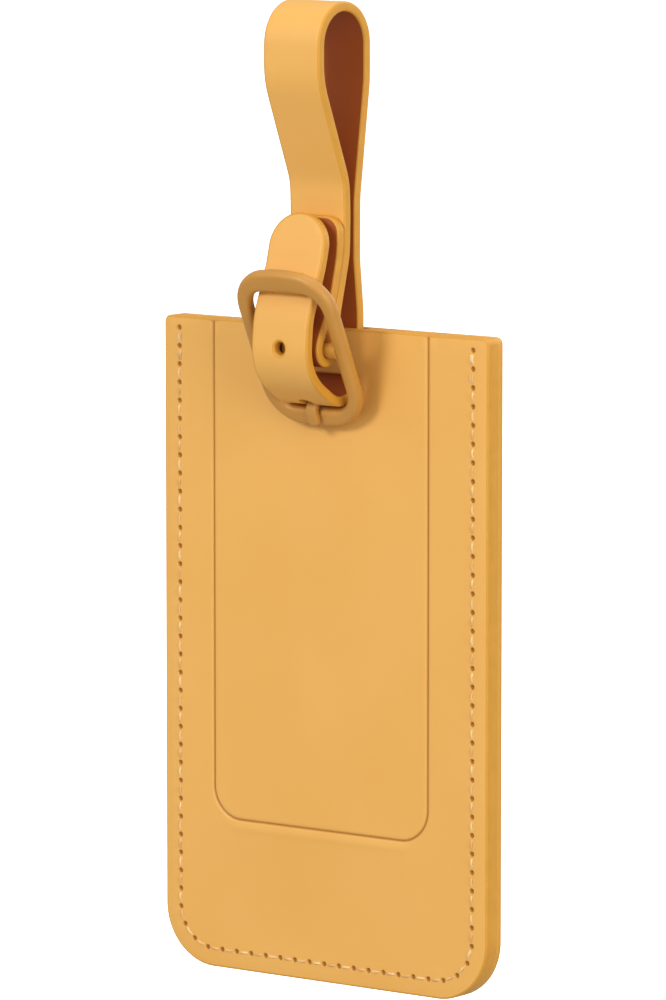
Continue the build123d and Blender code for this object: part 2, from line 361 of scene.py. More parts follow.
@dataclass
class Slab:
    """A layer with a shaped outline, holes and rounded edges, flat or bent along a route.

    The outline runs anticlockwise seen from the front and the holes run clockwise, so that the
    material lies to the left of every loop.
    """

    outline: list[Vector]
    thickness: float
    place: Place
    holes: list[list[Vector]] = field(default_factory=list)
    front_round: float = 0.3
    back_round: float = 0.3
    round_steps: int = 4
    hole_rounds: tuple[float, ...] = ()
    hole_back: float = 0.15
    inner: list[Vector] = field(default_factory=list)
    creases: list[list[Vector]] = field(default_factory=list)
    relief: Optional[Relief] = None

    def rings(self, front_round: float, back_round: float) -> list[tuple[float, float]]:
        """Inset and depth of each ring of an edge, from the front face to the back face."""
        steps = [math.radians(90 * step / self.round_steps) for step in range(self.round_steps + 1)]
        front = [(front_round * (1 - math.sin(a)), front_round * (1 - math.cos(a))) for a in steps]
        back = [
            (back_round * (1 - math.sin(a)), self.thickness - back_round * (1 - math.cos(a)))
            for a in reversed(steps)
        ]
        return front + back

    def cap(self, loops: Sequence[list[Vector]], lines: Sequence[list[Vector]]):
        """Triangles over the area between loops.

        Args:
            loops: the outline and then the holes.
            lines: lines that no triangle crosses.

        Returns:
            The points, the triangles, and each loop as places in the points.
        """
        points: list[Vector] = []
        edges: list[tuple[int, int]] = []
        rings = []
        for loop in loops:
            ring = list(range(len(points), len(points) + len(loop)))
            rings.append(ring)
            points += loop
            edges += zip(ring, ring[1:] + ring[:1])
        for line in lines:
            edges += [(len(points) + i, len(points) + i + 1) for i in range(len(line) - 1)]
            points += line
        points += self.inner
        spots, _, faces, origins, _, _ = delaunay_2d_cdt(points, edges, [], 1, 1e-6)
        middles = np.array([tuple(sum((spots[i] for i in face), Vector((0, 0))) / 3) for face in faces])
        triangles = [face for face, kept in zip(faces, inside(middles, loops)) if kept]
        home = {origin: index for index, found in enumerate(origins) for origin in found}
        return spots, triangles, [[home[index] for index in ring] for ring in rings]

    def build(self, name: str, finishes: Sequence[Material]) -> Object:
        """Makes the layer.

        Args:
            name: the piece's name.
            finishes: material of the front face, of the edges and of the back face.

        Returns:
            The finished piece.
        """
        loops = [self.outline] + self.holes
        ring_sets = [self.rings(self.front_round, self.back_round)]
        ring_sets += [self.rings(hole_round, self.hole_back) for hole_round in self.hole_rounds]
        points: list[Vector] = []
        pressed: list[float] = []
        faces: list[tuple[int, ...]] = []
        slots: list[int] = []
        ends = []
        for front in (True, False):
            end = 0 if front else -1
            flat = [moved_aside(loop, rings[end][0]) for loop, rings in zip(loops, ring_sets)]
            spots, triangles, homes = self.cap(flat, self.creases if front else [])
            first = len(points)
            for spot in spots:
                dent = self.relief(spot.x, spot.y) if self.relief and front else 0.0
                points.append(self.place(spot.x, spot.y, dent if front else self.thickness))
                pressed.append(dent)
            turned = triangles if front else [face[::-1] for face in triangles]
            faces += [tuple(first + index for index in face) for face in turned]
            slots += [0 if front else 2] * len(triangles)
            ends.append([[first + index for index in ring] for ring in homes])
        for loop, rings, ring, last in zip(loops, ring_sets, *ends):
            for inset, depth in rings[1:-1]:
                current = list(range(len(points), len(points) + len(loop)))
                points += [self.place(spot.x, spot.y, depth) for spot in moved_aside(loop, inset)]
                faces += wall(ring, current)
                ring = current
            faces += wall(ring, last)
        pressed += [0.0] * (len(points) - len(pressed))
        slots += [1] * (len(faces) - len(slots))
        piece = object_from(name, points, faces)
        for finish in finishes:
            piece.data.materials.append(finish)
        piece.data.polygons.foreach_set("material_index", slots)
        # The pressed depth, which the leather reads to paint shade into needle holes and pressed lines.
        piece.data.attributes.new("pressed", "FLOAT", "POINT").data.foreach_set("value", pressed)
        return piece


# ---- finishes ----


def linear(colour: str) -> tuple[float, float, float, float]:
    """An sRGB colour such as "#E6AD5A" as linear red, green, blue and alpha."""
    levels = [int(colour[index:index + 2], 16) / 255 for index in (1, 3, 5)]
    parts = [level / 12.92 if level <= 0.04045 else ((level + 0.055) / 1.055) ** 2.4 for level in levels]
    return parts[0], parts[1], parts[2], 1.0


def add_node(tree: bpy.types.NodeTree, kind: str, inputs: Optional[dict] = None, **settings: Any) -> Any:
    """Adds one node to a tree.

    Args:
        tree: the shader or geometry tree.
        kind: the node's type name.
        inputs: socket name or number to a value, or to the output that feeds it.
        settings: values of the node's own properties.

    Returns:
        The new node.
    """
    node = tree.nodes.new(kind)
    for name, value in settings.items():
        setattr(node, name, value)
    for key, value in (inputs or {}).items():
        if isinstance(value, bpy.types.NodeSocket):
            tree.links.new(value, node.inputs[key])
        else:
            node.inputs[key].default_value = value
    return node


class Recipe:
    """A material being made: its node tree, its surface shader and its object coordinates."""

    def __init__(self, name: str, sockets: dict[str, float]):
        """Starts the material.

        Args:
            name: the material's name.
            sockets: values of the surface shader's sockets.
        """
        self.material = bpy.data.materials.new(name)
        self.material.use_nodes = True
        self.tree = self.material.node_tree
        self.shader = self.tree.nodes["Principled BSDF"]
        for key, value in sockets.items():
            self.shader.inputs[key].default_value = value
        self.place = add_node(self.tree, "ShaderNodeTexCoord").outputs["Object"]

    def sized(self, size: float, inputs: dict) -> dict:
        """Inputs of a texture whose pattern has this size in millimetres."""
        return {"Vector": self.place, "Scale": 1.0 / (size * MM), **inputs}

    def mottled(self, size: float, detail: float, colour: str, other: str) -> tuple[Any, Any]:
        """Two colours in clouds.

        Args:
            size: size of the clouds in millimetres.
            detail: how many finer sizes they hold.
            colour: colour where the clouds are thin.
            other: colour where they are thick.

        Returns:
            The outputs of the colour and of the clouds' thickness.
        """
        texture = self.sized(size, {"Detail": detail})
        clouds = add_node(self.tree, "ShaderNodeTexNoise", texture).outputs["Fac"]
        mix = {"Factor": clouds, "A": linear(colour), "B": linear(other)}
        return add_node(self.tree, "ShaderNodeMix", mix, data_type="RGBA").outputs["Result"], clouds

    def finished(self, colour: Any, height: Any, strength: float, rise: float) -> Material:
        """The material with its colour and its uneven skin.

        Args:
            colour: output of the colour.
            height: output of the skin's height.
            strength: how much of the skin shows, 0 to 1.
            rise: its full height in millimetres.

        Returns:
            The finished material.
        """
        skin = {"Height": height, "Strength": strength, "Distance": rise * MM}
        bump = add_node(self.tree, "ShaderNodeBump", skin)
        self.tree.links.new(colour, self.shader.inputs["Base Color"])
        self.tree.links.new(bump.outputs["Normal"], self.shader.inputs["Normal"])
        return self.material


@dataclass(frozen=True)
class CoatedLeather:
    """Polyurethane-coated leather, pressed with a fine grain: an even, soft, satin face."""

    name: str = "polyurethane_leather"
    colour: str = "#E6A84D"
    lit_colour: str = "#EBB35C"
    # Painted shade: the face turns to this colour where it is pressed in, for the shade in the needle holes
    # and the pressed line, partly their burnish.
    pressed_shade_colour: str = "#9C600E"
    roughness: float = 0.5
    grain_mm: float = 0.42
    grain_height_mm: float = 0.018
    grain_strength: float = 0.55
    pore_depth: float = 0.7
    cloud_mm: float = 22.0
    shade_from_mm: float = 0.06
    shade_full_mm: float = 0.32
    shade_share: float = 0.85

    def make(self) -> Material:
        """Builds the material: clouded colour, painted shade where the face is pressed in (partly the
        burnish of the pressing), fine grain.
        """
        recipe = Recipe(self.name, {"Roughness": self.roughness, "IOR": 1.48})
        tree = recipe.tree
        tone, _ = recipe.mottled(self.cloud_mm, 3.0, self.colour, self.lit_colour)
        # Painted shade: the pressed depth mixes in the pressed shade colour.
        mark = add_node(tree, "ShaderNodeAttribute", attribute_name="pressed").outputs["Fac"]
        depths = {
            "Value": mark, "From Min": self.shade_from_mm, "From Max": self.shade_full_mm,
            "To Min": 0.0, "To Max": self.shade_share,
        }
        depth = add_node(tree, "ShaderNodeMapRange", depths).outputs["Result"]
        darker = {"Factor": depth, "A": tone, "B": linear(self.pressed_shade_colour)}
        shade = add_node(tree, "ShaderNodeMix", darker, data_type="RGBA")
        grains = recipe.sized(self.grain_mm, {"Smoothness": 0.6})
        cells = add_node(tree, "ShaderNodeTexVoronoi", grains, feature="SMOOTH_F1")
        fine = add_node(tree, "ShaderNodeTexNoise", recipe.sized(self.grain_mm * 2.6, {"Detail": 4.0}))
        heights = {0: cells.outputs["Distance"], 1: -self.pore_depth, 2: fine.outputs["Fac"]}
        grain = add_node(tree, "ShaderNodeMath", heights, operation="MULTIPLY_ADD")
        tone, height = shade.outputs["Result"], grain.outputs["Value"]
        return recipe.finished(tone, height, self.grain_strength, self.grain_height_mm)


@dataclass(frozen=True)
class EdgePaint:
    """Brushed-on edge paint: smoother and yellower than the face, thinning in streaks."""

    name: str = "edge_paint"
    colour: str = "#DFA034"
    other_colour: str = "#CF8F26"
    roughness: float = 0.52
    coat: float = 0.0
    cloud_mm: float = 3.2
    cloud_detail: float = 4.0
    wave_mm: float = 1.6
    wave_detail: float = 2.0
    wave_height_mm: float = 0.04
    wave_strength: float = 0.5

    def make(self) -> Material:
        """Builds the material: colour of slightly uneven thickness over a wavy skin."""
        sockets = {"Roughness": self.roughness, "IOR": 1.5, "Coat Weight": self.coat, "Coat Roughness": 0.3}
        recipe = Recipe(self.name, sockets)
        tone, _ = recipe.mottled(self.cloud_mm, self.cloud_detail, self.colour, self.other_colour)
        wave = recipe.sized(self.wave_mm, {"Detail": self.wave_detail})
        skin = add_node(recipe.tree, "ShaderNodeTexNoise", wave).outputs["Fac"]
        return recipe.finished(tone, skin, self.wave_strength, self.wave_height_mm)


@dataclass(frozen=True)
class LacqueredZinc(EdgePaint):
    """Zinc die casting under a satin colour lacquer: opaque, gently glossy, faint orange peel."""

    name: str = "lacquered_zinc"
    colour: str = "#C98F3C"
    other_colour: str = "#C08634"
    roughness: float = 0.46
    coat: float = 0.1
    cloud_mm: float = 5.0
    cloud_detail: float = 2.0
    wave_mm: float = 0.7
    wave_detail: float = 1.0
    wave_height_mm: float = 0.02
    wave_strength: float = 0.4


@dataclass(frozen=True)
class PolyesterThread:
    """Bonded twisted polyester sewing thread: pale, slightly shiny, with slanting plies."""

    name: str = "polyester_thread"
    colour: str = "#EFCB90"
    # Painted shade: the darker colour in the grooves between the plies.
    groove_shade_colour: str = "#D8A862"
    ply_mm: float = 9.0
    ply_height_mm: float = 0.04

    def make(self) -> Material:
        """Builds the material: slanting plies, with painted shade in the grooves between them."""
        recipe = Recipe(self.name, {"Roughness": 0.6, "Sheen Weight": 0.15, "Sheen Roughness": 0.4})
        plies = add_node(
            recipe.tree, "ShaderNodeTexWave", recipe.sized(self.ply_mm, {"Distortion": 0.6, "Detail": 1.0}),
            wave_type="BANDS", bands_direction="DIAGONAL",
        ).outputs["Fac"]
        mix = {"Factor": plies, "A": linear(self.groove_shade_colour), "B": linear(self.colour)}
        tone = add_node(recipe.tree, "ShaderNodeMix", mix, data_type="RGBA")
        return recipe.finished(tone.outputs["Result"], plies, 0.5, self.ply_height_mm)


@dataclass(frozen=True)
class CardStock:
    """Uncoated card with ruled lines to write on: matte, with a faint fibre mottle."""

    name: str = "ruled_card"
    colour: str = "#F3F1EA"
    fibre_colour: str = "#E6E3DA"
    line_colour: str = "#8C8F94"
    line_pitch_mm: float = 9.0
    line_width_mm: float = 0.35
    fibre_mm: float = 0.8
    fibre_height_mm: float = 0.02

    def make(self) -> Material:
        """Builds the material: mottled card under evenly ruled lines."""
        recipe = Recipe(self.name, {"Roughness": 0.8, "IOR": 1.4})
        tone, fibre = recipe.mottled(self.fibre_mm, 5.0, self.colour, self.fibre_colour)
        height = add_node(recipe.tree, "ShaderNodeSeparateXYZ", {"Vector": recipe.place}).outputs["Z"]
        steps = (("MODULO", self.line_pitch_mm * MM), ("GREATER_THAN", -self.line_width_mm * MM))
        for operation, value in steps:
            sockets = {0: height, 1: value}
            height = add_node(recipe.tree, "ShaderNodeMath", sockets, operation=operation).outputs["Value"]
        mix = {"Factor": height, "A": tone, "B": linear(self.line_colour)}
        inked = add_node(recipe.tree, "ShaderNodeMix", mix, data_type="RGBA")
        return recipe.finished(inked.outputs["Result"], fibre, 0.3, self.fibre_height_mm)


BACK_LEATHER = CoatedLeather("back_leather", "#E2A24E", "#E8AD5E")
# Painted shade: the lining is a darker, redder copy of the face leather. It stands for the shade and the
# warm bounce light inside the strap's loop.
SHADED_LINING = CoatedLeather("strap_lining", "#A44C0E", "#AE5514", roughness=0.62, grain_mm=0.3)
LIGHT_EDGE = EdgePaint("light_edge_paint", "#E4A83E", "#DA9C34")
BOARD = EdgePaint("painted_board", "#D2A468", "#C29050", roughness=0.6)


@dataclass
class Finishes:
    """All the tag's materials, made once."""

    leather: Material = field(default_factory=CoatedLeather().make)
    back_leather: Material = field(default_factory=BACK_LEATHER.make)
    # Painted shade for the strap's inner face.
    shaded_lining: Material = field(default_factory=SHADED_LINING.make)
    edge: Material = field(default_factory=EdgePaint().make)
    light_edge: Material = field(default_factory=LIGHT_EDGE.make)
    board: Material = field(default_factory=BOARD.make)
    zinc: Material = field(default_factory=LacqueredZinc().make)
    thread: Material = field(default_factory=PolyesterThread().make)
    card: Material = field(default_factory=CardStock().make)


# ---- the frame's own sizes ----


def box_mm(node: str) -> tuple[Vector, Vector]:
    """Lowest and highest corner of a node of the frame, in millimetres."""
    low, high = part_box(node)
    return low / MM, high / MM


def joint_mm(name: str) -> Vector:
    """Where a joint of the frame turns, in millimetres."""
    found = next(joint for joint in frame["joints"] if joint["name"] == name)
    return Vector(found["pos_m"]) / MM


FRONT_LOW, FRONT_HIGH = box_mm("front_panel")
MIDDLE_X = (FRONT_LOW.x + FRONT_HIGH.x) / 2
WIDTH = FRONT_HIGH.x - FRONT_LOW.x
HEIGHT = FRONT_HIGH.z - FRONT_LOW.z
FACE_Y = FRONT_LOW.y
TOP_Z = FRONT_HIGH.z
BACK_Y = box_mm("back_panel")[1].y
STRAP_WIDTH = box_mm("strap_loop_outer")[1].x * 2
STRAP_THICKNESS = 1.8
BAR = Vector(joint_mm("prong_lift").yz)


def thickness(node: str) -> float:
    """Thickness of one layer of the frame."""
    low, high = box_mm(node)
    return high.y - low.y


def on_layer(node: str) -> Place:
    """How a layer of the sleeve is laid out: across and up from the top edge's middle, then depth.

    Args:
        node: the layer's node, whose front is the layer's front.

    Returns:
        A function from (across, up, depth in the layer) to a point.
    """
    front = box_mm(node)[0].y

    def laid(across: float, up: float, depth: float) -> Vector:
        """One point of the layer."""
        return Vector((MIDDLE_X + across, front + depth, TOP_Z + up))
    return laid


def on_back(across: float, up: float, depth: float) -> Vector:
    """How the back cover is laid out: its front is the sleeve's back face."""
    return Vector((MIDDLE_X - across, BACK_Y - depth, TOP_Z + up))


# ---- sleeve ----


@dataclass
class Seam:
    """The line of stitches round three sides of the sleeve."""

    inset: float = 3.4
    start: float = 2.2
    pitch: float = 3.35
    corner: float = 7.6

    def line(self) -> list[Vector]:
        """The seam from its top left end to its top right end, seen from the front."""
        half, low = WIDTH / 2 - self.inset, self.inset - HEIGHT
        corners = four_corners((-half, half), (-self.start, low), (0, self.corner))
        return rounded(corners, closed=False, step=0.4)

    def spots(self) -> list[Vector]:
        """The needle holes, evenly spaced."""
        line = self.line()
        lengths = lengths_along(line)
        count = round(lengths[-1] / self.pitch)
        return [between(line, lengths, lengths[-1] * index / count) for index in range(count + 1)]


@dataclass
class PressedLine:
    """The line pressed into the front face: straight sides, round lower corners, open at the top."""

    middle: float = -0.95
    half_width: float = 24.2
    depth: float = 92.0
    radius: float = 6.0
    crease: float = 0.3
    crease_width: float = 0.24
    ridge: float = 0.16
    ridge_offset: float = 1.5
    ridge_width: float = 0.6
    offsets: tuple[float, ...] = (
        -1.2, -0.6, -0.35, -0.2, -0.08, 0.0, 0.08, 0.2, 0.35, 0.6, 1.0, 1.5, 2.0, 2.8,
    )

    def lines(self) -> list[list[Vector]]:
        """Lines beside each other along the pressed line, for the face's mesh to follow."""
        result = []
        for offset in self.offsets:
            half, low, radius = self.half_width + offset, self.depth + offset, self.radius + offset
            corners = four_corners((self.middle - half, self.middle + half), (-0.6, -low), (0, radius))
            result.append(rounded(corners, closed=False, step=0.6, spacing=2.5))
        return result

    def distance(self, across: float, up: float) -> float:
        """Distance from the pressed line, positive outside it."""
        side = abs(across - self.middle) - (self.half_width - self.radius)
        below = self.radius - self.depth - up
        if side > 0 and below > 0:
            return math.hypot(side, below) - self.radius
        return max(side, below) - self.radius

    def dent(self, across: float, up: float) -> float:
        """How far the face is pressed in at a point."""
        off = self.distance(across, up)
        crease = self.crease * math.exp(-((off / self.crease_width) ** 2))
        below = min(1.0, max(0.0, (self.radius - 1.0 - self.depth - up + 2.0) / 3.0))
        inward = min(1.0, max(0.0, (self.half_width - 1.0 - abs(across - self.middle)) / 6.0))
        ridge = self.ridge * math.exp(-(((off - self.ridge_offset) / self.ridge_width) ** 2))
        return crease - ridge * below * inward


@dataclass
class Sleeve:
    """The stitched sleeve: two covers, a padded board, a pocket spacer and a back board."""

    finishes: Finishes
    corner: float = 11.0
    top_corner: float = 1.2
    slot_half: float = 7.25
    slot_top: float = -8.4
    slot_bottom: float = -14.6
    slot_corner: float = 2.0
    pocket_half: float = 24.5
    pocket_depth: float = 106.0
    hole_radius: float = 0.6
    hole_depth: float = 0.6
    groove_half: float = 0.5
    groove_depth: float = 0.35
    seam: Seam = field(default_factory=Seam)
    pressed: PressedLine = field(default_factory=PressedLine)

    def outline(self, notch: float = 0.0, depth: float = 0.0, middle: float = 0.0) -> list[Vector]:
        """Outline of a layer, anticlockwise from the front, with or without a notch from the top.

        Args:
            notch: half the notch's width, or 0 for none.
            depth: how far it reaches down.
            middle: where its middle lies across.

        Returns:
            The outline's points.
        """
        half = WIDTH / 2
        corners = [(-half, -HEIGHT, self.corner), (half, -HEIGHT, self.corner), (half, 0, self.top_corner)]
        if notch:
            corners += four_corners((middle + notch, middle - notch), (0, -depth), (0.4, 1.0))
        corners.append((-half, 0, self.top_corner))
        return rounded(corners, closed=True, step=0.7, spacing=3.0)

    def needle_dent(self, across: float, up: float) -> float:
        """How deep the needle holes are at a point of a face."""
        nearest = float(np.sqrt(((self._needle_spots - (across, up)) ** 2).sum(1).min()))
        if nearest >= self.hole_radius:
            return 0.0
        return self.hole_depth * (1 - (nearest / self.hole_radius) ** 1.5)

    def needle_points(self) -> list[Vector]:
        """Points round and in each needle hole, for the face's mesh."""
        points = []
        for spot in self.seam.spots():
            for share in (1.0, 0.72, 0.4):
                points += arc(spot, self.hole_radius * share, 0, 315, 7)
            points.append(spot)
        return points

    def groove_lines(self) -> list[list[Vector]]:
        """Lines beside each other along the back's groove, for its mesh to follow."""
        lines = []
        for offset in (-0.8, -0.6, -0.4, -0.2, 0.2, 0.4, 0.6, 0.8):
            lines.append(divided(moved_aside(self.seam.line(), offset, closed=False), 2.0, closed=False))
        return lines

    def back_dent(self, across: float, up: float) -> float:
        """How far the back face is pressed in, by the groove and by the needle."""
        inset = self.seam.inset
        half, low = WIDTH / 2 - inset - self.seam.corner, HEIGHT - inset - self.seam.corner
        side, below = abs(across) - half, -up - low
        reach = math.hypot(side, below) if side > 0 and below > 0 else max(side, below)
        off = abs(reach - self.seam.corner)
        if up > -self.seam.start:
            off = math.hypot(off, up + self.seam.start)
        share = min(1.0, max(0.0, (off - 0.2) / (self.groove_half + 0.1)))
        groove = self.groove_depth * (1 - share * share * (3 - 2 * share))
        return min(groove + self.needle_dent(across, up) * 0.4, 0.5)

    def front_dent(self, across: float, up: float) -> float:
        """How far the front face is pressed in, by the line and by the needle."""
        return self.pressed.dent(across, up) + self.needle_dent(across, up)

    def build(self) -> None:
        """Makes the layers from front to back."""
        self._needle_spots = np.array([tuple(spot) for spot in self.seam.spots()])
        look, whole = self.finishes, self.outline()
        sides = (-self.slot_half - MIDDLE_X, self.slot_half - MIDDLE_X)
        corners = four_corners(sides, (self.slot_bottom, self.slot_top), (self.slot_corner,) * 2)
        slot = rounded(corners, closed=True, step=0.4)
        cover = Slab(
            whole, thickness("front_panel"), on_layer("front_panel"), [slot],
            front_round=0.4, back_round=0.08, hole_rounds=(0.3,), hole_back=0.08,
            creases=self.pressed.lines(), relief=self.front_dent, inner=self.needle_points(),
        )
        piece = cover.build("front_cover", (look.leather, look.edge, look.shaded_lining))
        settle(piece, "sleeve", "cover", "front_panel")
        notched = self.outline(self.slot_half, -self.slot_bottom, -MIDDLE_X)
        pocket = self.outline(self.pocket_half, self.pocket_depth)
        padding = (look.shaded_lining, look.edge, look.board)
        board = (look.board, look.light_edge, look.board)
        layers = (
            ("padded_board", "padding", "front_board", notched, padding, 0.08, 0.1, 4),
            ("pocket_spacer_strip", "board", "pocket_spacer", pocket, board, 0.08, 0.08, 2),
            ("back_stiffener", "board", "back_board", whole, board, 0.05, 0.05, 2),
        )
        for name, material_slot, node, outline, finishes, front, back, steps in layers:
            layer = Slab(
                outline, thickness(node), on_layer(node),
                front_round=front, back_round=back, round_steps=steps,
            )
            settle(layer.build(name, finishes), "sleeve", material_slot, node)
        rear = Slab(
            [Vector((-spot.x, spot.y)) for spot in reversed(whole)], thickness("back_panel"), on_back,
            front_round=0.35, back_round=0.08, creases=self.groove_lines(), relief=self.back_dent,
        )
        piece = rear.build("back_cover", (look.back_leather, look.edge, look.board))
        settle(piece, "sleeve", "cover", "back_panel")


# ---- stitching ----


class SleeveSide(Enum):
    """The two faces that the seam shows on."""

    FRONT = "front"
    BACK = "back"


@dataclass
class Stitching:
    """Thread along the seam on one face: one stitch from each needle hole to the next."""

    finishes: Finishes
    side: SleeveSide
    seam: Seam = field(default_factory=Seam)
    thread_radius: float = 0.23
    crown: float = 0.12
    dip: float = 0.34
    shortening: float = 1.3
    back_sunk: float = 0.32
    doubled: int = 2
    doubled_offset: float = 0.34

    def point(self, spot: Vector) -> Vector:
        """A seam point on this side's face, in millimetres of the frame."""
        if self.side is SleeveSide.FRONT:
            return Vector((MIDDLE_X + spot.x, FACE_Y, TOP_Z + spot.y))
        return Vector((MIDDLE_X - spot.x, BACK_Y - self.back_sunk, TOP_Z + spot.y))

    def guide(self) -> Object:
        """The line through the stitches' middles, with a short line beside each doubled end."""
        holes = self.seam.spots()
        middles = [(hole + follower) / 2 for hole, follower in zip(holes, holes[1:])]
        curve = bpy.data.curves.new("seam_guide", "CURVE")
        curve.dimensions = "3D"
        doubles = (middles[:self.doubled], middles[-self.doubled:])
        for run, offset in [(middles, 0.0)] + [(run, self.doubled_offset) for run in doubles]:
            shift = Vector((math.copysign(offset, -run[0].x), 0))
            spline = curve.splines.new("POLY")
            spline.points.add(len(run) - 1)
            for spot, middle in zip(spline.points, run):
                spot.co = (*(self.point(middle + shift) * MM), 1.0)
        return linked(f"stitching_{self.side.value}_thread", curve)

    def tree(self) -> bpy.types.NodeTree:
        """Geometry nodes: a bowed length of thread on each point of the guide, along it."""
        tree = bpy.data.node_groups.new(f"stitches_{self.side.value}", "GeometryNodeTree")
        sockets = {
            "Geometry": "Geometry", "Stitch Length": "Float", "Thread Radius": "Float", "Crown": "Float",
            "Dip": "Float", "Outward": "Vector", "Thread": "Material",
        }
        for name, kind in sockets.items():
            tree.interface.new_socket(name, in_out="INPUT", socket_type=f"NodeSocket{kind}")
        tree.interface.new_socket("Geometry", in_out="OUTPUT", socket_type="NodeSocketGeometry")
        given = add_node(tree, "NodeGroupInput").outputs
        half, minus, sunk = (
            add_node(tree, "ShaderNodeMath", {0: given[name], 1: factor}, operation="MULTIPLY").outputs[0]
            for name, factor in (("Stitch Length", 0.5), ("Stitch Length", -0.5), ("Dip", -1.0))
        )
        rise = {0: given["Crown"], 1: 2.0, 2: given["Dip"]}
        top = add_node(tree, "ShaderNodeMath", rise, operation="MULTIPLY_ADD").outputs[0]
        start, crown, end = (
            add_node(tree, "ShaderNodeCombineXYZ", parts).outputs[0]
            for parts in ({"X": minus, "Z": sunk}, {"Z": top}, {"X": half, "Z": sunk})
        )
        arch = {"Resolution": 7, "Start": start, "Middle": crown, "End": end}
        bow = add_node(tree, "GeometryNodeCurveQuadraticBezier", arch)
        circle = {"Resolution": 8, "Radius": given["Thread Radius"]}
        ring = add_node(tree, "GeometryNodeCurvePrimitiveCircle", circle)
        sweep = {"Curve": bow.outputs[0], "Profile Curve": ring.outputs[0], "Fill Caps": True}
        thread = add_node(tree, "GeometryNodeCurveToMesh", sweep)
        smooth = add_node(tree, "GeometryNodeSetShadeSmooth", {"Geometry": thread.outputs[0]})
        middles = {"Geometry": given["Geometry"]}
        kept = add_node(tree, "GeometryNodeCaptureAttribute", middles, domain="POINT")
        kept.capture_items.new("VECTOR", "Along")
        tree.links.new(add_node(tree, "GeometryNodeInputTangent").outputs[0], kept.inputs["Along"])
        curve = {"Curve": kept.outputs["Geometry"]}
        points = add_node(tree, "GeometryNodeCurveToPoints", curve, mode="EVALUATED").outputs["Points"]
        turn = add_node(
            tree, "FunctionNodeAxesToRotation",
            {"Primary Axis": given["Outward"], "Secondary Axis": kept.outputs["Along"]},
            primary_axis="Z", secondary_axis="X",
        )
        stitches = {"Points": points, "Instance": smooth.outputs[0], "Rotation": turn.outputs[0]}
        sewn = add_node(tree, "GeometryNodeInstanceOnPoints", stitches)
        solid = add_node(tree, "GeometryNodeRealizeInstances", {"Geometry": sewn.outputs[0]})
        dye = {"Geometry": solid.outputs[0], "Material": given["Thread"]}
        dyed = add_node(tree, "GeometryNodeSetMaterial", dye)
        add_node(tree, "NodeGroupOutput", {"Geometry": dyed.outputs[0]})
        return tree

    def build(self) -> None:
        """Makes the thread as one plain mesh on the sleeve."""
        guide = self.guide()
        modifier = guide.modifiers.new("stitches", "NODES")
        modifier.node_group = self.tree()
        values = {
            "Stitch Length": (self.seam.pitch - self.shortening) * MM,
            "Thread Radius": self.thread_radius * MM,
            "Crown": self.crown * MM,
            "Dip": self.dip * MM,
            "Outward": (0.0, -1.0 if self.side is SleeveSide.FRONT else 1.0, 0.0),
            "Thread": self.finishes.thread,
        }
        for item in modifier.node_group.interface.items_tree:
            if item.name in values and item.in_out == "INPUT":
                modifier[item.identifier] = values[item.name]
        name = guide.name
        depsgraph = bpy.context.evaluated_depsgraph_get()
        mesh = bpy.data.meshes.new_from_object(guide.evaluated_get(depsgraph), depsgraph=depsgraph)
        bpy.data.objects.remove(guide)
        settle(linked(name, mesh), "sleeve", "thread", f"stitching_{self.side.value}")


# ---- address card ----


@dataclass
class AddressCard:
    """The pull-out card, with a thumb notch at its top."""

    finishes: Finishes
    corner: float = 3.0
    thumb_radius: float = 9.0

    def build(self) -> None:
        """Makes the card in its node's place."""
        low, high = box_mm("address_card")
        sides, (top, bottom) = (low.x - MIDDLE_X, high.x - MIDDLE_X), (high.z - TOP_Z, low.z - TOP_Z)
        edge = rounded(four_corners(sides, (top, bottom), (self.corner,) * 2), closed=True, step=0.5)
        notch = arc((-MIDDLE_X, top), self.thumb_radius, 0, -180, 20)
        card = Slab(
            divided(edge + notch, 3.0, closed=True), thickness("address_card"), on_layer("address_card"),
            front_round=0.05, back_round=0.05, round_steps=2,
        )
        settle(card.build("ruled_address_card", (self.finishes.card,) * 3), "card", "card", "address_card")


# ---- strap ----


def side(corners: Corners) -> Corners:
    """Corners measured from the sleeve's front face and top edge, as the frame's Y and Z."""
    return [(FACE_Y + out, TOP_Z + up, radius) for out, up, radius in corners]


def opening(half_width: float, ends: Sequence[float], radius: float, spacing: float) -> list[Vector]:
    """A slot through a strip, clockwise.

    Args:
        half_width: half its width.
        ends: where it starts and ends along the strip.
        radius: radius of its corners.
        spacing: longest distance between two of its points.

    Returns:
        The slot's points.
    """
    corners = four_corners((-half_width, half_width), ends, (radius, radius))
    return rounded(corners, closed=True, step=0.3, spacing=spacing)


